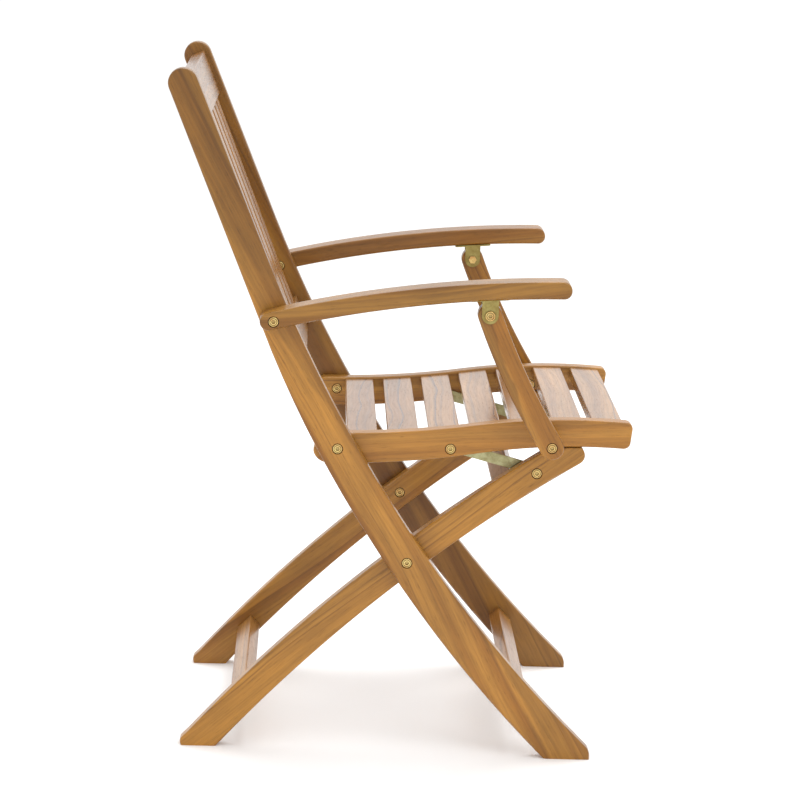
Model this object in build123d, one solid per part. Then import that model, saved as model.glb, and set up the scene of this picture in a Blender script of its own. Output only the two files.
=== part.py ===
from build123d import *
import math
import os

# Folding garden armchair, built right side first and mirrored to the left.
# +X is the chair's front, +Y the sitter's left, +Z up. The origin is on the
# ground, under the middle of the chair. All lengths are in millimetres.

# Stock
BOARD = 22.0                # thickness of the side boards
SIDE_GAP = 1.5              # washer gap between a stile and the board beside it
BOARD_EDGE = 3.0            # rounding along the boards' long edges
SLAT_EDGE = 2.0             # rounding along slats and crossbars

# Layers across the chair, as distances from its middle plane
STILE_OUT = 235.0
STILE_IN = STILE_OUT - BOARD
SEAT_OUT = STILE_IN - SIDE_GAP
SEAT_IN = SEAT_OUT - BOARD
LINK_OUT = SEAT_IN - 0.6
LINK_THICK = 3.0
LINK_IN = LINK_OUT - LINK_THICK
ARM_IN = STILE_OUT + SIDE_GAP
ARM_WIDTH = 40.0
ARM_OUT = ARM_IN + ARM_WIDTH
EAR_THICK = 2.0
EAR_IN = ARM_IN + 0.3
POST_IN = EAR_IN + EAR_THICK + 0.4
POST_OUT = POST_IN + BOARD
EAR_OUT = POST_OUT + 0.4

# Pivots, seen from the side as (x, z)
LEG_PIVOT = (15.8, 258.9)
SEAT_PIVOT = (-78.0, 407.5)
LINK_SEAT_PIVOT = (68.2, 406.2)
LINK_LEG_PIVOT = (181.4, 376.6)
ARM_PIVOT = (-163.5, 577.2)
POST_SEAT_PIVOT = (196.0, 420.5)
POST_ARM_PIVOT = (
    ARM_PIVOT[0] + POST_SEAT_PIVOT[0] - SEAT_PIVOT[0],
    ARM_PIVOT[1] + POST_SEAT_PIVOT[1] - SEAT_PIVOT[1],
)

# Bolts and sleeve nuts
SHANK_R = 4.0
PIVOT_HOLE_R = 4.05
THREAD_R = 3.0
THREAD_HOLE_R = 3.05
THREAD_LENGTH = 8.0
HEAD_R = 6.4
HEAD_THICK = 3.2
RECESS_R = 7.2
RECESS_DEPTH = 3.8
SOCKET_WIDTH = 5.8
SOCKET_DEPTH = 2.4
GROOVE_OUT_R = 5.0
GROOVE_IN_R = 3.8
GROOVE_DEPTH = 1.1
RUNNING_GAP = 0.3

# Seat
SEAT_SLATS = 7
SLAT_WIDTH = 40.0
SLAT_PITCH = 53.1
SLAT_THICK = 15.0
FIRST_SLAT_X = -47.0
SLAT_SINK = 2.6             # slat tops below the rails' top edge

# Back panel: its front plane leans back from a point at the bottom
PANEL_FOOT = (-120.6, 490.0)
PANEL_TILT = 21.8
PANEL_HEIGHT = 418.0
CREST_HEIGHT = 63.0
LOWER_RAIL_HEIGHT = 50.0
PANEL_THICK = 19.0
BACK_SLATS = 6
BACK_SLAT_WIDTH = 42.0
BACK_SLAT_PITCH = 65.0
BACK_SLAT_THICK = 12.0

# Crossbars, as (centre x, centre z, size along the board, size across it, slope)
FRONT_STRETCHER = (166.5, 72.5, 27.0, 19.0, -45.0)
REAR_STRETCHER = (-195.4, 56.8, 27.0, 19.5, 44.0)
LEG_CROSS_RAIL = (141.3, 358.0, 28.0, 20.0, 35.0)
TENON_DEPTH = 12.0
TENON_SCALE = 0.62          # tenon size as a share of the bar's section

# Link bars and arm brackets
LINK_WIDTH = 14.6
EAR_WIDTH = 21.0
FLANGE_LENGTH = 50.0
ARM_THICK = 22.4
SPACER_R = 8.0
WASHER_R = 10.0


def board(outline, inner, thick, edge):
    """Side board from an outline in the XZ plane, on the right (-Y) side."""
    solid = extrude(Plane.XZ.offset(inner) * outline, thick)
    return fillet(solid.faces().filter_by(Axis.Y).edges(), edge)


def sawn_flat(solid):
    """Cut a board off level with the ground, leaving its sole crisp."""
    return solid - Pos(0, 0, -20) * Box(800, 600, 40)


def rod(place, near, far, radius):
    """Round bar along Y at (x, z), between two distances from the middle."""
    x, z = place
    return Pos(x, -(near + far) / 2, z) * Rot(90, 0, 0) * Cylinder(radius, far - near)


def along(angle, length):
    """Step of a given length at an angle above +X, in the XZ plane."""
    turn = math.radians(angle)
    return length * math.cos(turn), length * math.sin(turn)


def moved(point, angle, length):
    step = along(angle, length)
    return point[0] + step[0], point[1] + step[1]


def angle_between(a, b):
    return math.degrees(math.atan2(b[1] - a[1], b[0] - a[0]))


def outline_of(*edges):
    return make_face(edges)


def rounded(face, point, radius):
    """Round the outline's corner at a point."""
    corner = face.vertices().sort_by_distance((point[0], point[1], 0))[0]
    return fillet(corner, radius)


def mirrored(solid):
    return mirror(solid, Plane.XZ)


# ---------------------------------------------------------------- outlines

SAW_LINE = -6.0             # side boards are drawn past the ground, then sawn off

def stile_outline():
    """Back stile that curves forward to the front foot, with a round top."""
    top = (-284.6, 871.0)
    radius = 19.0
    lean = 112.4
    rear_start = moved(top, lean + 90, radius)
    front_start = moved(top, lean - 90, radius)
    crown = moved(top, lean, radius)
    rear_bend = (-165.5, 531.5)
    rear_middle = (-31.6, 287.0)
    heel = (208.6, SAW_LINE)
    front_bend = (-170.0, 643.7)
    front_middle = (-5.5, 335.0)
    toe_top = (252.5, 22.4)
    toe = (263.0, 11.9)
    toe_floor = (263.0, SAW_LINE)
    face = outline_of(
        Line(toe_floor, heel),
        ThreePointArc(heel, (94.0, 117.4), rear_middle),
        ThreePointArc(rear_middle, (-101.6, 401.5), rear_bend),
        Line(rear_bend, rear_start),
        ThreePointArc(rear_start, crown, front_start),
        Line(front_start, front_bend),
        ThreePointArc(front_bend, (-95.1, 485.5), front_middle),
        ThreePointArc(front_middle, (115.9, 170.1), toe_top),
        Line(toe_top, toe),
        Line(toe, toe_floor),
    )
    return rounded(face, toe, 15)


def leg_outline():
    """Rear leg, curved up to a flat stop that the seat rail rests on."""
    heel_top = (-265.5, 17.6)
    heel = (-275.4, 8.0)
    heel_floor = (-271.9, SAW_LINE)
    toe = (-232.3, SAW_LINE)
    lower_end = (224.0, 382.8)
    nose = (247.5, 397.8)
    stop_front = (238.5, 412.5)
    stop_rear = (189.5, 410.7)
    upper_end = (186.2, 404.0)
    face = outline_of(
        Line(heel_floor, toe),
        ThreePointArc(toe, (-15.2, 207.7), lower_end),
        Line(lower_end, nose),
        Line(nose, stop_front),
        Line(stop_front, stop_rear),
        Line(stop_rear, upper_end),
        ThreePointArc(upper_end, (-53.5, 226.6), heel_top),
        Line(heel_top, heel),
        Line(heel, heel_floor),
    )
    face = rounded(face, nose, 12)
    face = rounded(face, heel, 8)
    return rounded(face, stop_front, 2.5)


RAIL_TOP_REAR = (-90.0, 424.0)
RAIL_TOP_BEND = (100.0, 438.5)
RAIL_TOP_FRONT = (304.5, 446.3)


def rail_top_edges():
    rear = TangentArc(RAIL_TOP_REAR, RAIL_TOP_BEND, tangent=(1, 0))
    front = TangentArc(RAIL_TOP_BEND, RAIL_TOP_FRONT, tangent=rear % 1)
    return rear, front


def rail_outline():
    """Seat rail with a dipped rear and a crowned front."""
    bottom_rear = (-90.0, 384.0)
    bottom_bend = (100.0, 400.5)
    bottom_front = (300.5, 411.3)
    rear_end = (-109.4, 400.5)
    rear_top = (-102.3, 424.0)
    top_rear, top_front = rail_top_edges()
    under_rear = TangentArc(bottom_rear, bottom_bend, tangent=(1, 0))
    under_front = TangentArc(bottom_bend, bottom_front, tangent=under_rear % 1)
    face = outline_of(
        top_rear,
        top_front,
        Line(RAIL_TOP_FRONT, bottom_front),
        under_front,
        under_rear,
        TangentArc(bottom_rear, rear_end, tangent=(-1, 0)),
        Line(rear_end, rear_top),
        Line(rear_top, RAIL_TOP_REAR),
    )
    face = rounded(face, rear_end, 10)
    face = rounded(face, rear_top, 10)
    face = rounded(face, RAIL_TOP_FRONT, 9)
    return rounded(face, bottom_front, 9)


ARM_REAR = (-169.8, 577.0)
ARM_CROWN = (22.0, 613.8)
ARM_FRONT = (212.8, 626.8)


def arm_outline():
    """Armrest bent along a shallow arc, round behind and eased in front."""
    centre = ThreePointArc(ARM_REAR, ARM_CROWN, ARM_FRONT)
    above = []
    below = []
    for share in (0, 0.5, 1):
        point = centre @ share
        normal = Vector(-(centre % share).Y, (centre % share).X) * (ARM_THICK / 2)
        above.append(point + normal)
        below.append(point - normal)
    rear_tip = centre @ 0 - (centre % 0) * (ARM_THICK / 2)
    face = outline_of(
        ThreePointArc(*above),
        Line(above[2], below[2]),
        ThreePointArc(*below),
        ThreePointArc(below[0], rear_tip, above[0]),
    )
    face = rounded(face, (above[2].X, above[2].Y), 11.5)
    return rounded(face, (below[2].X, below[2].Y), 10)


def post_outline():
    """Arm post: a bowed strip with round ends about its two pivots."""
    radius = 15.4
    bow = 5.0
    top, foot = POST_ARM_PIVOT, POST_SEAT_PIVOT
    slope = angle_between(foot, top)
    half = math.dist(foot, top) / 2
    turn = 2 * math.degrees(math.atan(bow / half))
    middle = moved(((top[0] + foot[0]) / 2, (top[1] + foot[1]) / 2), slope + 90, bow)
    return outline_of(
        ThreePointArc(
            moved(foot, slope + 90 + turn, radius),
            moved(middle, slope + 90, radius),
            moved(top, slope + 90 - turn, radius),
        ),
        ThreePointArc(
            moved(top, slope + 90 - turn, radius),
            moved(top, slope - turn, radius),
            moved(top, slope - 90 - turn, radius),
        ),
        ThreePointArc(
            moved(top, slope - 90 - turn, radius),
            moved(middle, slope - 90, radius),
            moved(foot, slope - 90 + turn, radius),
        ),
        ThreePointArc(
            moved(foot, slope - 90 + turn, radius),
            moved(foot, slope + 180 + turn, radius),
            moved(foot, slope + 90 + turn, radius),
        ),
    )


# --------------------------------------------------------------- crossbars

def bar(place, slope, size_along, size_across, half_span, edge):
    """Crossbar along Y with a stub tenon at each end."""
    x, z = place
    body = Box(size_along, 2 * half_span, size_across)
    body = fillet(body.edges().filter_by(Axis.Y), edge)
    return Pos(x, 0, z) * Rot(0, -slope, 0) * (body + tenons(size_along, size_across, half_span))


def tenons(size_along, size_across, half_span):
    span = 2 * (half_span + TENON_DEPTH)
    return Box(size_along * TENON_SCALE, span, size_across * TENON_SCALE)


def mortise(place, slope, size_along, size_across, half_span):
    """Solid that cuts both side boards for a bar's tenons."""
    x, z = place
    return Pos(x, 0, z) * Rot(0, -slope, 0) * tenons(size_along, size_across, half_span)


def crossbar(data, half_span):
    x, z, size_along, size_across, slope = data
    return bar((x, z), slope, size_along, size_across, half_span, SLAT_EDGE)


def crossbar_mortise(data, half_span):
    x, z, size_along, size_across, slope = data
    return mortise((x, z), slope, size_along, size_across, half_span)


# --------------------------------------------------------------- hardware

def socket(place, face, inward):
    """Hex socket and ring groove that cut a bolt's or nut's outer face."""
    x, z = place
    hexagon = Plane.XZ.offset(face) * Pos(x, z) * RegularPolygon(SOCKET_WIDTH / 2, 6)
    near, far = sorted((face, face + inward * GROOVE_DEPTH))
    groove = rod(place, near, far, GROOVE_OUT_R) - rod(place, near, far, GROOVE_IN_R)
    return extrude(hexagon, inward * SOCKET_DEPTH) + groove


def bolt(place, head_top, shank_end, recessed_nut_end):
    """Socket bolt: head outside, shank, and a thinner threaded end."""
    head = rod(place, head_top - HEAD_THICK, head_top, HEAD_R)
    head = fillet(head.faces().sort_by(Axis.Y)[0].edges(), 1.2)
    shank = rod(place, shank_end, head_top - HEAD_THICK, SHANK_R)
    thread = rod(place, recessed_nut_end, shank_end, THREAD_R)
    return head + shank + thread - socket(place, head_top, -1)


def sleeve_nut(place, sleeve_start, face):
    """Sleeve nut whose cap faces the middle of the chair."""
    cap = rod(place, face, face + HEAD_THICK, HEAD_R)
    cap = fillet(cap.faces().sort_by(Axis.Y)[-1].edges(), 1.2)
    sleeve = rod(place, face + HEAD_THICK, sleeve_start, SHANK_R)
    bore = rod(place, face + HEAD_THICK, sleeve_start, THREAD_HOLE_R)
    return cap + sleeve - bore - socket(place, face, 1)


def recess(place, face, depth):
    """Counterbore from a face towards the middle, or away from it if negative."""
    near, far = sorted((face, face - depth))
    return rod(place, near, far, RECESS_R)


def washer(place, near, far, outer=WASHER_R):
    return rod(place, near, far, outer) - rod(place, near, far, PIVOT_HOLE_R)


def pivot_bolt(place, outer_face, inner_face):
    """Bolt and sleeve nut across a stack of boards, both sunk in recesses."""
    head_top = outer_face - 0.4
    nut_face = inner_face + 0.4
    sleeve_start = nut_face + HEAD_THICK + THREAD_LENGTH + 1.0
    shank_end = sleeve_start + 0.2
    thread_end = shank_end - THREAD_LENGTH
    return bolt(place, head_top, shank_end, thread_end), sleeve_nut(place, sleeve_start, nut_face)


# -------------------------------------------------------------- seat parts

def seat_slat_places():
    """Middle point and slope of each slat, following the rails' top edge."""
    rear, front = rail_top_edges()
    places = []
    for index in range(SEAT_SLATS):
        x = FIRST_SLAT_X + index * SLAT_PITCH
        edge, start = (rear, RAIL_TOP_REAR) if x < RAIL_TOP_BEND[0] else (front, RAIL_TOP_BEND)
        share = (x - start[0]) / ((edge @ 1).X - start[0])
        point = edge @ share
        slope = math.degrees(math.atan2((edge % share).Y, (edge % share).X))
        centre = moved((point.X, point.Y), slope - 90, SLAT_SINK + SLAT_THICK / 2)
        places.append((centre, slope))
    return places


seat_slats = []
seat_mortises = []
for centre, slope in seat_slat_places():
    seat_slats.append(bar(centre, slope, SLAT_WIDTH, SLAT_THICK, SEAT_IN, SLAT_EDGE))
    seat_mortises.append(mortise(centre, slope, SLAT_WIDTH, SLAT_THICK, SEAT_IN))

seat_rail = board(rail_outline(), SEAT_IN, BOARD, BOARD_EDGE)
seat_rail -= seat_mortises
for pivot in (SEAT_PIVOT, LINK_SEAT_PIVOT, POST_SEAT_PIVOT):
    seat_rail -= rod(pivot, SEAT_IN, SEAT_OUT, PIVOT_HOLE_R)
seat_rail -= recess(SEAT_PIVOT, SEAT_IN, -RECESS_DEPTH)
seat_rail -= recess(POST_SEAT_PIVOT, SEAT_IN, -RECESS_DEPTH)
seat_rail -= recess(LINK_SEAT_PIVOT, SEAT_OUT, RECESS_DEPTH)

# --------------------------------------------------------------- leg parts

leg = sawn_flat(board(leg_outline(), SEAT_IN, BOARD, BOARD_EDGE))
leg -= [crossbar_mortise(REAR_STRETCHER, SEAT_IN), crossbar_mortise(LEG_CROSS_RAIL, SEAT_IN)]
for pivot in (LEG_PIVOT, LINK_LEG_PIVOT):
    leg -= rod(pivot, SEAT_IN, SEAT_OUT, PIVOT_HOLE_R)
leg -= recess(LEG_PIVOT, SEAT_IN, -RECESS_DEPTH)
leg -= recess(LINK_LEG_PIVOT, SEAT_OUT, RECESS_DEPTH)

# -------------------------------------------------------------- back parts

stile = sawn_flat(board(stile_outline(), STILE_IN, BOARD, BOARD_EDGE))
for pivot in (LEG_PIVOT, SEAT_PIVOT, ARM_PIVOT):
    stile -= rod(pivot, STILE_IN, STILE_OUT, PIVOT_HOLE_R)
stile -= recess(LEG_PIVOT, STILE_OUT, RECESS_DEPTH)
stile -= recess(SEAT_PIVOT, STILE_OUT, RECESS_DEPTH)
stile -= recess(ARM_PIVOT, STILE_IN, -RECESS_DEPTH)


def panel_point(height, depth):
    """Point at a height up the back panel and a depth behind its front."""
    point = moved(PANEL_FOOT, 90 + PANEL_TILT, height)
    return moved(point, 180 + PANEL_TILT, depth)


PANEL_SLOPE = 90 + PANEL_TILT
crest_place = panel_point(PANEL_HEIGHT - CREST_HEIGHT / 2, PANEL_THICK / 2)
lower_place = panel_point(LOWER_RAIL_HEIGHT / 2, PANEL_THICK / 2)
crest_data = (*crest_place, CREST_HEIGHT, PANEL_THICK, PANEL_SLOPE)
lower_data = (*lower_place, LOWER_RAIL_HEIGHT, PANEL_THICK, PANEL_SLOPE)
crest_rail = crossbar(crest_data, STILE_IN)
lower_back_rail = crossbar(lower_data, STILE_IN)
front_stretcher = crossbar(FRONT_STRETCHER, STILE_IN)
stile -= [crossbar_mortise(data, STILE_IN) for data in (crest_data, lower_data, FRONT_STRETCHER)]

slat_length = PANEL_HEIGHT - CREST_HEIGHT - LOWER_RAIL_HEIGHT
slat_place = panel_point(LOWER_RAIL_HEIGHT + slat_length / 2, PANEL_THICK / 2)
back_slats = []
for index in range(BACK_SLATS):
    y = (index - (BACK_SLATS - 1) / 2) * BACK_SLAT_PITCH
    body = Box(slat_length, BACK_SLAT_WIDTH, BACK_SLAT_THICK)
    body = fillet(body.edges().filter_by(Axis.X), SLAT_EDGE)
    tenon = Box(slat_length + 2 * TENON_DEPTH, BACK_SLAT_WIDTH * TENON_SCALE, BACK_SLAT_THICK * TENON_SCALE)
    at_slat = Pos(slat_place[0], y, slat_place[1]) * Rot(0, -PANEL_SLOPE, 0)
    back_slats.append(at_slat * (body + tenon))
    crest_rail -= at_slat * tenon
    lower_back_rail -= at_slat * tenon

# ---------------------------------------------------------- arms and posts

arm = board(arm_outline(), ARM_IN, ARM_WIDTH, BOARD_EDGE)
arm -= rod(ARM_PIVOT, ARM_IN, ARM_OUT, PIVOT_HOLE_R)
arm -= recess(ARM_PIVOT, ARM_OUT, RECESS_DEPTH)

post = board(post_outline(), POST_IN, BOARD, BOARD_EDGE)
post -= rod(POST_SEAT_PIVOT, POST_IN, POST_OUT, PIVOT_HOLE_R)
post -= recess(POST_SEAT_PIVOT, POST_OUT, RECESS_DEPTH)
post -= rod(POST_ARM_PIVOT, POST_IN, POST_OUT, THREAD_HOLE_R)


def arm_underside():
    """Point and slope under the arm, straight above the bracket bolt."""
    centre = ThreePointArc(ARM_REAR, ARM_CROWN, ARM_FRONT)
    share = (POST_ARM_PIVOT[0] - ARM_REAR[0]) / (ARM_FRONT[0] - ARM_REAR[0])
    point = centre @ share
    slope = math.degrees(math.atan2((centre % share).Y, (centre % share).X))
    return moved((point.X, point.Y), slope - 90, ARM_THICK / 2), slope


under_point, under_slope = arm_underside()
FLANGE_GAP = 0.25           # the flange lies flat under a slightly hollow face
flange_centre = moved(under_point, under_slope - 90, FLANGE_GAP + EAR_THICK / 2)
flange_y = -(EAR_IN + EAR_OUT + EAR_THICK) / 2
flange_width = EAR_OUT + EAR_THICK - EAR_IN
SCREW_STEP = 17.5
SCREW_R = 2.0
at_flange = Pos(flange_centre[0], flange_y, flange_centre[1]) * Rot(0, -under_slope, 0)
flange = Box(FLANGE_LENGTH, flange_width, EAR_THICK)
flange = fillet(flange.edges().filter_by(Axis.Z), 4)


def ear(near):
    """Bracket ear that hangs from the flange, round about the bolt."""
    x, z = POST_ARM_PIVOT
    top = flange_centre[1]
    plate = Pos(x, -(near + EAR_THICK / 2), (z + top) / 2) * Box(EAR_WIDTH, EAR_THICK, top - z)
    return plate + rod(POST_ARM_PIVOT, near, near + EAR_THICK, EAR_WIDTH / 2)


bracket = at_flange * flange + ear(EAR_IN) + ear(EAR_OUT)
bracket -= rod(POST_ARM_PIVOT, EAR_IN, EAR_OUT + EAR_THICK, THREAD_HOLE_R)
screws = []
for side in (-1, 1):
    at_screw = at_flange * Pos(side * SCREW_STEP, 0, 0)
    bracket -= at_screw * Cylinder(SCREW_R + 0.2, 2 * EAR_THICK)
    shaft = Pos(0, 0, 6.6) * Cylinder(SCREW_R, 17)
    head = Pos(0, 0, -EAR_THICK / 2 - 0.8) * Cylinder(4.2, 1.6)
    head = fillet(head.edges().sort_by(Axis.Z)[0], 1.0)
    screws.append(at_screw * (shaft + head))
    arm -= at_screw * Pos(0, 0, 8) * Cylinder(SCREW_R + 0.05, 18)

# ------------------------------------------------------------------- links

link_slope = angle_between(LINK_SEAT_PIVOT, LINK_LEG_PIVOT)
link_length = math.dist(LINK_SEAT_PIVOT, LINK_LEG_PIVOT)
link_middle = (
    (LINK_SEAT_PIVOT[0] + LINK_LEG_PIVOT[0]) / 2,
    (LINK_SEAT_PIVOT[1] + LINK_LEG_PIVOT[1]) / 2,
)
link_shape = Pos(*link_middle) * Rot(0, 0, link_slope) * SlotCenterToCenter(link_length, LINK_WIDTH)
link = extrude(Plane.XZ.offset(LINK_IN) * link_shape, LINK_THICK)
link = fillet(link.faces().filter_by(Axis.Y).edges(), 0.5)
for pivot in (LINK_SEAT_PIVOT, LINK_LEG_PIVOT):
    link -= rod(pivot, LINK_IN, LINK_OUT, PIVOT_HOLE_R)

# ---------------------------------------------------------- bolts and nuts

leg_bolt, leg_nut = pivot_bolt(LEG_PIVOT, STILE_OUT, SEAT_IN)
seat_bolt, seat_nut = pivot_bolt(SEAT_PIVOT, STILE_OUT, SEAT_IN)
arm_bolt, arm_nut = pivot_bolt(ARM_PIVOT, ARM_OUT, STILE_IN)
post_bolt, post_nut = pivot_bolt(POST_SEAT_PIVOT, POST_OUT, SEAT_IN)

stile_washers = [
    washer(LEG_PIVOT, SEAT_OUT + RUNNING_GAP, STILE_IN),
    washer(SEAT_PIVOT, SEAT_OUT + RUNNING_GAP, STILE_IN),
    washer(ARM_PIVOT, STILE_OUT, ARM_IN - RUNNING_GAP),
]
post_spacer = washer(POST_SEAT_PIVOT, SEAT_OUT, POST_IN - RUNNING_GAP, SPACER_R)

# The link's front bolt runs through the seat rail into a nut behind the link. Its
# rear bolt is in two halves: one stays in the leg, the other rides on the link.
link_nut_face = LINK_IN - RUNNING_GAP - HEAD_THICK
link_sleeve_start = LINK_OUT + 4.0
link_seat_bolt = bolt(
    LINK_SEAT_PIVOT,
    SEAT_OUT - 0.4,
    link_sleeve_start + 0.2,
    link_nut_face + HEAD_THICK + 0.5,
)
link_seat_nut = sleeve_nut(LINK_SEAT_PIVOT, link_sleeve_start, link_nut_face)
link_leg_bolt = bolt(LINK_LEG_PIVOT, SEAT_OUT - 0.4, SEAT_IN + 2.0, SEAT_IN + 0.1)
link_leg_cap = rod(LINK_LEG_PIVOT, LINK_IN - HEAD_THICK, LINK_IN, HEAD_R)
link_leg_cap = fillet(link_leg_cap.faces().sort_by(Axis.Y)[-1].edges(), 1.2)
link_leg_nut = link_leg_cap + rod(LINK_LEG_PIVOT, LINK_IN, LINK_OUT, SHANK_R)
link_leg_nut -= socket(LINK_LEG_PIVOT, LINK_IN - HEAD_THICK, 1)

# Bracket bolt through both ears and the post
BRACKET_NUT_THICK = 2.2
bracket_head_top = EAR_OUT + EAR_THICK + HEAD_THICK
bracket_head = rod(POST_ARM_PIVOT, EAR_OUT + EAR_THICK, bracket_head_top, HEAD_R)
bracket_head = fillet(bracket_head.faces().sort_by(Axis.Y)[0].edges(), 1.2)
bracket_shank = rod(POST_ARM_PIVOT, EAR_IN - BRACKET_NUT_THICK, EAR_OUT + EAR_THICK, THREAD_R)
bracket_bolt = bracket_head + bracket_shank - socket(POST_ARM_PIVOT, bracket_head_top, -1)
bracket_nut_face = Plane.XZ.offset(EAR_IN - BRACKET_NUT_THICK)
bracket_nut = extrude(
    bracket_nut_face * Pos(*POST_ARM_PIVOT) * RegularPolygon(5.8, 6),
    BRACKET_NUT_THICK,
)
bracket_nut -= rod(POST_ARM_PIVOT, EAR_IN - BRACKET_NUT_THICK, EAR_IN, THREAD_HOLE_R)

# ------------------------------------------------------------------ output

nodes = {
    "crest_rail": crest_rail,
    "lower_back_rail": lower_back_rail,
    "front_stretcher": front_stretcher,
    "rear_stretcher": crossbar(REAR_STRETCHER, SEAT_IN),
    "leg_cross_rail": crossbar(LEG_CROSS_RAIL, SEAT_IN),
}
for index, slat in enumerate(back_slats, 1):
    nodes[f"back_slat_{index}"] = slat
for index, slat in enumerate(seat_slats, 1):
    nodes[f"seat_slat_{index}"] = slat

sided = {
    "back_stile": stile,
    "rear_leg": leg,
    "seat_rail": seat_rail,
    "armrest": arm,
    "arm_post": post,
    "arm_bracket": bracket,
    "link_bar": link,
    "link_leg_nut": link_leg_nut,
    "bracket_bolt": bracket_bolt,
    "bracket_nut": bracket_nut,
    "bracket_screws": Compound(children=screws),
}
for name, solid in sided.items():
    nodes[f"{name}_right"] = solid
    nodes[f"{name}_left"] = mirrored(solid)

# Identical hardware that rides on one assembly shares a node
grouped = {
    "leg_pivot_bolts": [leg_bolt],
    "seat_pivot_bolts": [seat_bolt],
    "arm_pivot_bolts": [arm_bolt],
    "stile_sleeve_nuts": [leg_nut, seat_nut, arm_nut],
    "stile_washers": stile_washers,
    "post_bolts": [post_bolt],
    "seat_sleeve_nuts": [post_nut, link_seat_nut],
    "post_spacers": [post_spacer],
    "link_seat_bolts": [link_seat_bolt],
    "link_leg_bolts": [link_leg_bolt],
}
for name, solids in grouped.items():
    pieces = []
    for solid in solids:
        pieces += [solid, mirrored(solid)]
    nodes[name] = Compound(children=pieces)

os.makedirs("parts", exist_ok=True)
for name, solid in nodes.items():
    export_step(solid, f"parts/{name}.step")
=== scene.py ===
import math
import random
from collections import namedtuple

import bpy
from mathutils import Matrix, Vector


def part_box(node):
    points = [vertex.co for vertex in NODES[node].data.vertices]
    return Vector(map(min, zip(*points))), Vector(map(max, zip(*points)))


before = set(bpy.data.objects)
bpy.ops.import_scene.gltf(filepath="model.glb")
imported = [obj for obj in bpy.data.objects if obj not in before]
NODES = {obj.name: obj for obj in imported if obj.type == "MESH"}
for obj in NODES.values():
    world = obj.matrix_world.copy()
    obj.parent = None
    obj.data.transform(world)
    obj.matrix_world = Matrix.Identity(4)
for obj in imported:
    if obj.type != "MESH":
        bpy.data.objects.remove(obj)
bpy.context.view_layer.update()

# ------------------------------------------------------------ node helpers


class Graph:
    """Short-hand for building a node tree."""

    def __init__(self, tree):
        self.tree = tree

    def node(self, kind, inputs=None, **settings):
        made = self.tree.nodes.new(kind)
        for key, value in settings.items():
            setattr(made, key, value)
        for key, value in (inputs or {}).items():
            self.put(made.inputs[key], value)
        return made

    def put(self, socket, value):
        if isinstance(value, bpy.types.NodeSocket):
            self.tree.links.new(value, socket)
        else:
            socket.default_value = value

    def math(self, operation, a, b=None, c=None, clamp=False):
        made = self.tree.nodes.new("ShaderNodeMath")
        made.operation = operation
        made.use_clamp = clamp
        for index, value in enumerate((a, b, c)):
            if value is not None:
                self.put(made.inputs[index], value)
        return made.outputs[0]

    def step(self, value, low, high, to_low=0.0, to_high=1.0):
        made = self.node("ShaderNodeMapRange", interpolation_type="SMOOTHSTEP")
        for index, number in enumerate((value, low, high, to_low, to_high)):
            self.put(made.inputs[index], number)
        return made.outputs[0]

    def noise(self, vector, scale, detail=2.0, rough=0.5):
        inputs = {"Vector": vector, "Scale": scale, "Detail": detail, "Roughness": rough}
        return self.node("ShaderNodeTexNoise", inputs).outputs[0]

    def sway(self, vector, scale, detail, rough, size):
        """Noise about zero, of a given size."""
        about_zero = self.math("SUBTRACT", self.noise(vector, scale, detail, rough), 0.5)
        return self.math("MULTIPLY", about_zero, size)

    def vector(self, x, y, z):
        return self.node("ShaderNodeCombineXYZ", {0: x, 1: y, 2: z}).outputs[0]

    def scaled(self, parts, factors):
        """Point from three values, each multiplied by its own factor."""
        return self.vector(*(self.math("MULTIPLY", part, factor) for part, factor in zip(parts, factors)))

    def dimmed(self, colour, factor):
        """Colour multiplied by a brightness."""
        return self.mix(1.0, colour, self.vector(factor, factor, factor), "MULTIPLY")

    def mix(self, factor, a, b, blend="MIX"):
        made = self.tree.nodes.new("ShaderNodeMix")
        made.data_type = "RGBA"
        made.blend_type = blend
        self.put(made.inputs[0], factor)
        self.put(made.inputs[6], a)
        self.put(made.inputs[7], b)
        return made.outputs[2]


def linear(red, green, blue):
    """Scene colour from 0 to 255 screen values."""
    out = []
    for value in (red, green, blue):
        share = value / 255
        out.append(share / 12.92 if share <= 0.04045 else ((share + 0.055) / 1.055) ** 2.4)
    return (*out, 1.0)


# ------------------------------------------------------------------- teak

# Sizes in metres
RING_DRIFT = 0.034          # slow wander of the rings along a board
RING_RIPPLE = 0.0020        # small waves in them
HEART_ACROSS = 0.062        # how far the log's heart lies from the board's middle
HEART_DEEP = 0.030
FIGURE_WAVE = 0.016         # unevenness of the edge of a darker side
# Waves per metre along the grain, and across it
DRIFT_WAVES = (2.6, 7.0)
RIPPLE_WAVES = (14.0, 60.0)
CLOUD_WAVES = (5.0, 16.0)
FIBRE = (22.0, 420.0, 420.0)
STREAK = (3.2, 150.0, 150.0)
PORE = (85.0, 1500.0, 1500.0)
# Shares
LATE_START, LATE_END = 0.35, 0.93    # part of a ring that darkens, up to its sharp edge
FAINT_RING = 0.16           # strength of the palest rings
PORE_SHADE = 0.32           # how much a pore darkens the wood
BASE_ROUGHNESS = 0.24
WOOD_IOR = 1.42
COAT_ROUGHNESS = 0.14


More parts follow.
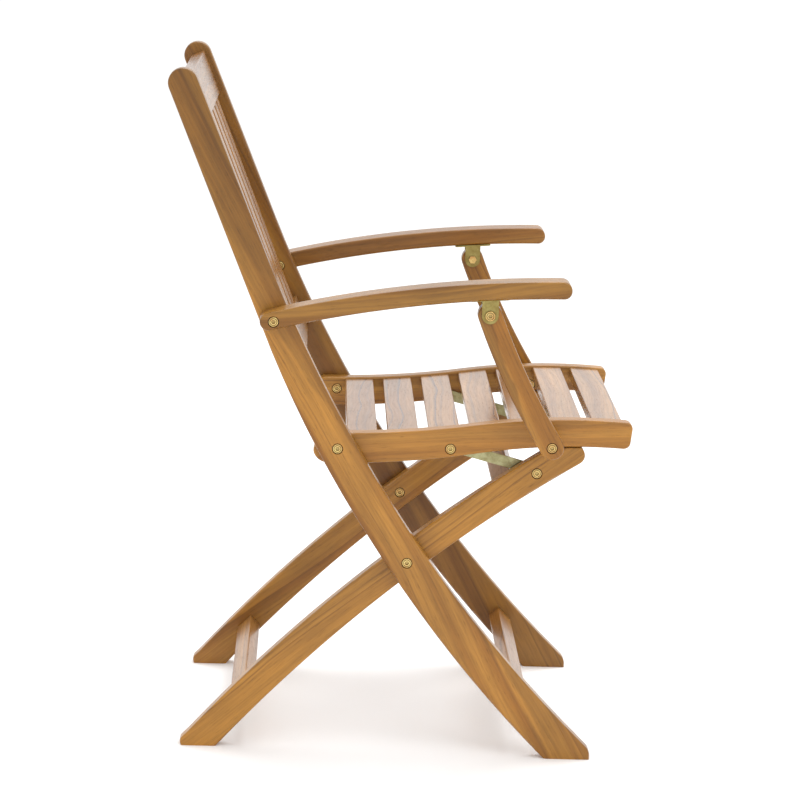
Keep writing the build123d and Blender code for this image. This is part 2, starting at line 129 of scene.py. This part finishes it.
def teak_group():
    """Growth rings, fibre and pores in wood coordinates: X runs along the grain."""
    tree = bpy.data.node_groups.new("teak", "ShaderNodeTree")
    face = tree.interface
    for name, kind in (
        ("Wood", "NodeSocketVector"),
        ("Seed", "NodeSocketFloat"),
        ("Ring", "NodeSocketFloat"),
        ("Contrast", "NodeSocketFloat"),
        ("Wander", "NodeSocketFloat"),
        ("Light", "NodeSocketColor"),
        ("Middle", "NodeSocketColor"),
        ("Dark", "NodeSocketColor"),
    ):
        face.new_socket(name, in_out="INPUT", socket_type=kind)
    for name, kind in (
        ("Color", "NodeSocketColor"),
        ("Roughness", "NodeSocketFloat"),
        ("Height", "NodeSocketFloat"),
    ):
        face.new_socket(name, in_out="OUTPUT", socket_type=kind)
    g = Graph(tree)
    source = tree.nodes.new("NodeGroupInput").outputs
    sink = tree.nodes.new("NodeGroupOutput").inputs
    split = g.node("ShaderNodeSeparateXYZ", {0: source["Wood"]}).outputs
    x, y, z = split[0], split[1], split[2]
    seed = source["Seed"]

    def seeded(waves):
        """Noise point with its own waves along and across the grain, shifted by the seed."""
        along, side = waves
        return g.vector(g.math("MULTIPLY", x, along), g.math("MULTIPLY", y, side), g.math("ADD", z, seed))

    # the board wanders through the log, so rings drift slowly across it
    drift = g.sway(seeded(DRIFT_WAVES), 1.0, 1.5, 0.5, RING_DRIFT)
    drift = g.math("MULTIPLY", drift, source["Wander"])
    ripple = g.sway(seeded(RIPPLE_WAVES), 1.0, 2.0, 0.5, RING_RIPPLE)
    across = g.math("ADD", g.math("ADD", y, drift), ripple)
    radius = g.node(
        "ShaderNodeVectorMath",
        {0: g.vector(0.0, g.math("ADD", across, HEART_ACROSS), g.math("ADD", z, HEART_DEEP))},
        operation="LENGTH",
    ).outputs["Value"]
    line = g.vector(radius, seed, 0.0)
    uneven = g.sway(line, 70.0, 1.0, 0.5, 1.8)
    rings = g.math("ADD", g.math("DIVIDE", radius, source["Ring"]), uneven)
    whole = g.math("FLOOR", rings)
    part = g.math("FRACT", rings)
    rise = g.step(part, LATE_START, LATE_END)
    fall = g.step(part, LATE_END, 1.0, 1.0, 0.0)
    late = g.math("POWER", g.math("MULTIPLY", rise, fall), 1.6)
    ring_seed = g.vector(whole, seed, 1.0)
    weight = g.node("ShaderNodeTexWhiteNoise", {"Vector": ring_seed}, noise_dimensions="3D")
    strength = g.step(weight.outputs["Value"], 0.45, 1.0, FAINT_RING, 1.0)
    late = g.math("MULTIPLY", late, strength)

    # broad bands of lighter and darker wood, a few rings wide
    band_at = g.vector(radius, g.math("ADD", seed, 5.0), g.math("MULTIPLY", x, 0.012))
    broad = g.step(g.noise(band_at, 40.0), 0.36, 0.64)

    # long fibres, and short dark pores between them
    board = (x, across, z)
    fibre = g.noise(g.scaled(board, FIBRE), 1.0, 3.0, 0.62)
    shift = g.vector(0.0, seed, seed)
    streak_at = g.node("ShaderNodeVectorMath", {0: g.scaled(board, STREAK), 1: shift}).outputs[0]
    streak = g.noise(streak_at, 1.0)
    pore = g.step(g.noise(g.scaled(board, PORE), 1.0, 1.0, 0.4), 0.60, 0.72)
    pore = g.math("MULTIPLY", pore, g.step(fibre, 0.38, 0.62))
    cloud = g.noise(seeded(CLOUD_WAVES), 1.0, 3.0, 0.55)

    tone = g.mix(broad, source["Light"], source["Middle"])
    shade = g.math("MULTIPLY", late, source["Contrast"], clamp=True)
    tone = g.mix(shade, tone, source["Dark"])
    streaks = g.step(streak, 0.30, 0.72, 1.07, 0.90)
    fibres = g.step(fibre, 0.25, 0.75, 1.10, 0.89)
    clouds = g.step(cloud, 0.28, 0.72, 1.12, 0.85)
    factor = g.math("MULTIPLY", g.math("MULTIPLY", streaks, fibres), clouds)
    clear = g.math("SUBTRACT", 1.0, g.math("MULTIPLY", pore, PORE_SHADE))
    factor = g.math("MULTIPLY", factor, clear)
    g.put(sink["Color"], g.dimmed(tone, factor))
    rough = g.math("ADD", g.math("MULTIPLY", fibre, 0.16), g.math("MULTIPLY", pore, 0.22))
    rough = g.math("ADD", rough, g.math("MULTIPLY", shade, -0.05))
    g.put(sink["Roughness"], g.math("ADD", rough, BASE_ROUGHNESS))
    height = g.math("ADD", g.math("MULTIPLY", fibre, 0.55), g.math("MULTIPLY", pore, -0.8))
    g.put(sink["Height"], g.math("ADD", height, g.math("MULTIPLY", shade, 0.35)))
    return tree


TEAK = teak_group()
LIGHT = linear(176, 124, 54)
MIDDLE = linear(146, 95, 33)
DARK = linear(88, 48, 14)
# Darker sides of a slanted line: x, z, angle in degrees, softness, brightness
FIGURES = {
    "back_stile_right": (
        (-0.2514, 0.7193, -51.8, 0.006, 0.80),
        (0.0961, 0.1892, -55.4, 0.002, 0.80),
    ),
    "arm_post_right": ((0.112, 0.578, 112.5, 0.0020, 0.64),),
}
# How a board looks: ring width in metres, ring contrast, brightness (which also holds painted shade), shares
# of red and blue, how much its rings wander, and how strong its clear coat is
Look = namedtuple("Look", "ring contrast gain red blue wander coat", defaults=(1.0, 1.0, 1.0, 0.12))


def shade_colour(colour, look):
    red, green, blue, _ = colour
    return (red * look.gain * look.red, green * look.gain, blue * look.gain * look.blue, 1.0)


def lean(angle):
    """Direction in the side view, at an angle in degrees above the chair's front."""
    turn = math.radians(angle)
    return Vector((math.cos(turn), 0.0, math.sin(turn)))


def darker_side(g, place, origin, tone, x, z, angle, soft, factor):
    """Darker heartwood on the left of a slanted line in the side view."""
    normal = lean(angle + 90)
    dot = g.node("ShaderNodeVectorMath", {0: place, 1: tuple(normal)}, operation="DOT_PRODUCT")
    reach = g.math("SUBTRACT", dot.outputs["Value"], normal.dot(Vector((x, 0.0, z)) - origin))
    wave = g.sway(place, 22.0, 2.0, 0.5, FIGURE_WAVE)
    share = g.step(g.math("ADD", reach, wave), -soft, soft, 1.0, factor)
    return g.dimmed(tone, share)


def new_material(name):
    """Material with the graph of its nodes and its shader."""
    material = bpy.data.materials.new(name)
    material.use_nodes = True
    return material, Graph(material.node_tree), material.node_tree.nodes["Principled BSDF"]


def teak(name, along, across, centre, seed, look):
    """Teak with its grain along one direction, laid out about a point on the piece."""
    material, g, shader = new_material(name)
    along = Vector(along).normalized()
    across = (Vector(across) - along * Vector(across).dot(along)).normalized()
    deep = along.cross(across)
    place = g.node("ShaderNodeTexCoord").outputs["Object"]
    place = g.node("ShaderNodeVectorMath", {0: place, 1: tuple(centre)}, operation="SUBTRACT").outputs[0]
    parts = []
    for direction in (along, across, deep):
        dot = g.node("ShaderNodeVectorMath", {0: place, 1: tuple(direction)}, operation="DOT_PRODUCT")
        parts.append(dot.outputs["Value"])
    rng = random.Random(seed)
    shift = (rng.uniform(-3, 3), rng.uniform(0.0, 0.05), rng.uniform(-0.01, 0.01))
    parts = [g.math("ADD", value, offset) for value, offset in zip(parts, shift)]
    wood = g.node("ShaderNodeGroup", node_tree=TEAK)
    g.put(wood.inputs["Wood"], g.vector(*parts))
    g.put(wood.inputs["Seed"], seed * 1.37)
    g.put(wood.inputs["Ring"], look.ring)
    g.put(wood.inputs["Contrast"], look.contrast)
    g.put(wood.inputs["Wander"], look.wander)
    g.put(wood.inputs["Light"], shade_colour(LIGHT, look))
    g.put(wood.inputs["Middle"], shade_colour(MIDDLE, look))
    g.put(wood.inputs["Dark"], shade_colour(DARK, look))
    tone = wood.outputs["Color"]
    origin = NODES[name].matrix_world.translation + Vector(centre)
    for figure in FIGURES.get(name, ()):
        tone = darker_side(g, place, origin, tone, *figure)
    g.put(shader.inputs["Base Color"], tone)
    g.put(shader.inputs["Roughness"], wood.outputs["Roughness"])
    shader.inputs["IOR"].default_value = WOOD_IOR
    shader.inputs["Coat Weight"].default_value = look.coat
    shader.inputs["Coat Roughness"].default_value = COAT_ROUGHNESS
    bump = g.node("ShaderNodeBump", {"Strength": 0.28, "Distance": 0.0003, "Height": wood.outputs["Height"]})
    g.put(shader.inputs["Normal"], bump.outputs[0])
    return material


# ------------------------------------------------------------------ metal

# Reach of the painted shade in crevices
CREVICE_SHADE_REACH = 0.0035      # metres
METALLIC = 0.85


def zinc(name, colour, tint, rough, seed):
    """Yellow passivated zinc plate: gritty, a little cloudy, with painted shade darkening its crevices."""
    material, g, shader = new_material(name)
    place = g.node("ShaderNodeTexCoord").outputs["Object"]
    shift = (seed, seed * 0.7, 0.0)
    place = g.node("ShaderNodeVectorMath", {0: place, 1: shift}, operation="ADD").outputs[0]
    cloud = g.noise(place, 90.0, 4.0, 0.6)
    grit = g.noise(place, 1400.0, 3.0, 0.6)
    hue = g.step(cloud, 0.35, 0.65)
    tone = g.mix(hue, colour, tint)
    grit_and_shade = g.step(grit, 0.3, 0.7, 1.05, 0.86)
    # Painted shade: ambient occlusion darkens the zinc's colour in its crevices and sockets, where shade
    # falls
    reach = {"Distance": CREVICE_SHADE_REACH}
    crevice_shade = g.node("ShaderNodeAmbientOcclusion", reach, samples=8).outputs["AO"]
    grit_and_shade = g.math("MULTIPLY", grit_and_shade, g.step(crevice_shade, 0.30, 0.90, 0.25, 1.0))
    g.put(shader.inputs["Base Color"], g.dimmed(tone, grit_and_shade))
    shader.inputs["Metallic"].default_value = METALLIC
    g.put(shader.inputs["Roughness"], g.math("ADD", g.math("MULTIPLY", cloud, 0.22), rough))
    bump = g.node("ShaderNodeBump", {"Strength": 0.25, "Distance": 0.0002, "Height": grit})
    g.put(shader.inputs["Normal"], bump.outputs[0])
    return material


# ------------------------------------------------------- grain for each board

def middle(node):
    low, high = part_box(node)
    return (low + high) / 2


def paint(node, material):
    slots = NODES[node].data.materials
    if len(slots) == 0:
        slots.append(material)
    for index in range(len(slots)):
        slots[index] = material


SIDE = Vector((0.0, 1.0, 0.0))
# Grain angle in the side view, then the look on the right and on the left
# Every left look except the armrest's is dimmer than the right one. This is painted shade for the chair's
# far side, which lies in the shade of the near parts, and it is strongest on the back stile.
BOARDS = {
    "back_stile": (119.5, Look(0.0085, 0.45, 0.90, 1.03, 0.82), Look(0.0085, 0.45, 0.54, 1.03, 0.82)),
    "rear_leg": (39.0, Look(0.0075, 0.50, 0.85, 1.03, 0.75), Look(0.0075, 0.50, 0.80, 1.03, 0.75)),
    "seat_rail": (4.0, Look(0.0060, 0.42, 1.04, 0.99, 0.90), Look(0.0060, 0.42, 0.86, 0.99, 0.90)),
    "armrest": (7.0, Look(0.0070, 0.34, 0.68, 1.0, 0.85), Look(0.0070, 0.34, 0.72, 1.0, 0.85)),
    "arm_post": (116.0, Look(0.0065, 0.70, 1.12, 1.0, 0.90), Look(0.0065, 0.70, 0.82, 1.0, 0.90)),
}
# Painted sheen: the seat slats' large blue share whitens their colour to stand in for the white backdrop
# reflected on their grazing tops
SEAT_SLAT = Look(0.0085, 1.0, 0.88, 0.95, 1.6, 2.4, 0.55)
BACK_SLAT = Look(0.0060, 0.42, 0.92, 0.98, 1.3, 1.0, 0.35)
BACK_RAIL = Look(0.0080, 0.60, 0.72, 0.98, 1.5, 1.8, 0.42)
CROSSBAR = Look(0.0060, 0.45, 0.86, 1.0, 1.2, 1.2, 0.25)
CROSSBAR_ANGLES = {"front_stretcher": -45, "rear_stretcher": 44, "leg_cross_rail": 35}
SEAT_GRAIN = lean(2)
PANEL_GRAIN = lean(111.8)
SEAT_SLATS = 7
BACK_SLATS = 6
# Each kind of piece counts its seeds up from its own first one
SEAT_SEED, BACK_SEED, RAIL_SEED, BAR_SEED = 60, 120, 160, 180
SEED_STEP = 5


def paint_board(node, along, across, seed, look):
    paint(node, teak(node, along, across, middle(node), seed, look))


for number, (name, (angle, *looks)) in enumerate(BOARDS.items()):
    for turn, side in enumerate(("right", "left")):
        seed = 11 + 7 * number + 3 * turn
        paint_board(f"{name}_{side}", lean(angle), lean(angle + 90), seed, looks[turn])
for index in range(1, SEAT_SLATS + 1):
    paint_board(f"seat_slat_{index}", SIDE, SEAT_GRAIN, SEAT_SEED + SEED_STEP * index, SEAT_SLAT)
for index in range(1, BACK_SLATS + 1):
    paint_board(f"back_slat_{index}", PANEL_GRAIN, SIDE, BACK_SEED + SEED_STEP * index, BACK_SLAT)
for index, node in enumerate(("crest_rail", "lower_back_rail")):
    paint_board(node, SIDE, PANEL_GRAIN, RAIL_SEED + SEED_STEP * index, BACK_RAIL)
for index, (node, angle) in enumerate(CROSSBAR_ANGLES.items()):
    paint_board(node, SIDE, lean(angle), BAR_SEED + SEED_STEP * index, CROSSBAR)

ZINC = zinc("zinc_bolts", linear(232, 204, 132), linear(214, 168, 104), 0.18, 1.0)
PLATE = zinc("zinc_plate", linear(168, 154, 94), linear(148, 130, 74), 0.28, 2.0)
LINK = zinc("zinc_link", linear(180, 176, 134), linear(150, 142, 100), 0.30, 3.0)
for node in NODES:
    if "link_bar" in node:
        paint(node, LINK)
    elif "arm_bracket" in node:
        paint(node, PLATE)
    elif any(word in node for word in ("bolt", "nut", "washer", "spacer", "screw")):
        paint(node, ZINC)

# ----------------------------------------------------------- floor and light

FLOOR_HALF = 30.0
CAMERA_PLACE = (-0.10836, -4.15449, 1.21622)
YAW, PITCH, ROLL = 0.0277161, 0.1871546, 0.0312571
LENS = 140.184              # millimetres, on a sensor 36 mm wide
SENSOR = 36
LIGHT_TARGET = (0.0, 0.0, 0.45)
# Place, diameter and power in watts
LIGHTS = {
    "key": ((1.8, -2.6, 3.4), 2.4, 24),
    "top": ((0.4, 1.2, 3.6), 2.6, 70),
}
SKY_STRENGTH = 1.1


def floor():
    """Wide pale floor under the feet."""
    half = FLOOR_HALF
    corners = [(-half, -half, 0), (half, -half, 0), (half, half, 0), (-half, half, 0)]
    mesh = bpy.data.meshes.new("floor")
    mesh.from_pydata(corners, [], [(0, 1, 2, 3)])
    made = bpy.data.objects.new("floor", mesh)
    bpy.context.scene.collection.objects.link(made)
    material, _, shader = new_material("floor")
    shader.inputs["Base Color"].default_value = (0.97, 0.97, 0.97, 1.0)
    shader.inputs["Roughness"].default_value = 1.0
    shader.inputs["Specular IOR Level"].default_value = 0.0
    mesh.materials.append(material)


def area_light(name, place, size, power):
    """Round soft light aimed at the chair's middle."""
    data = bpy.data.lights.new(name, "AREA")
    data.shape = "DISK"
    data.size = size
    data.energy = power
    made = bpy.data.objects.new(name, data)
    made.location = place
    made.rotation_euler = (Vector(LIGHT_TARGET) - Vector(place)).to_track_quat("-Z", "Y").to_euler()
    bpy.context.scene.collection.objects.link(made)


def camera():
    """Long lens from the chair's right, a little above and turned slightly."""
    ahead = Vector((math.sin(YAW) * math.cos(PITCH), math.cos(YAW) * math.cos(PITCH), -math.sin(PITCH)))
    level = Vector((math.cos(YAW), -math.sin(YAW), 0))
    up = level.cross(ahead)
    right = math.cos(ROLL) * level + math.sin(ROLL) * up
    up = -math.sin(ROLL) * level + math.cos(ROLL) * up
    data = bpy.data.cameras.new("camera")
    data.lens = LENS
    data.sensor_width = SENSOR
    data.clip_end = 200
    made = bpy.data.objects.new("camera", data)
    axes = Matrix((right, up, -ahead)).transposed().to_4x4()
    made.matrix_world = Matrix.Translation(CAMERA_PLACE) @ axes
    bpy.context.scene.collection.objects.link(made)
    bpy.context.scene.camera = made


floor()
world = bpy.data.worlds.new("studio")
world.use_nodes = True
world.node_tree.nodes["Background"].inputs["Color"].default_value = (1.0, 1.0, 1.0, 1.0)
world.node_tree.nodes["Background"].inputs["Strength"].default_value = SKY_STRENGTH
bpy.context.scene.world = world
for name, (place, size, power) in LIGHTS.items():
    area_light(name, place, size, power)
camera()
bpy.context.scene.view_settings.view_transform = "Standard"
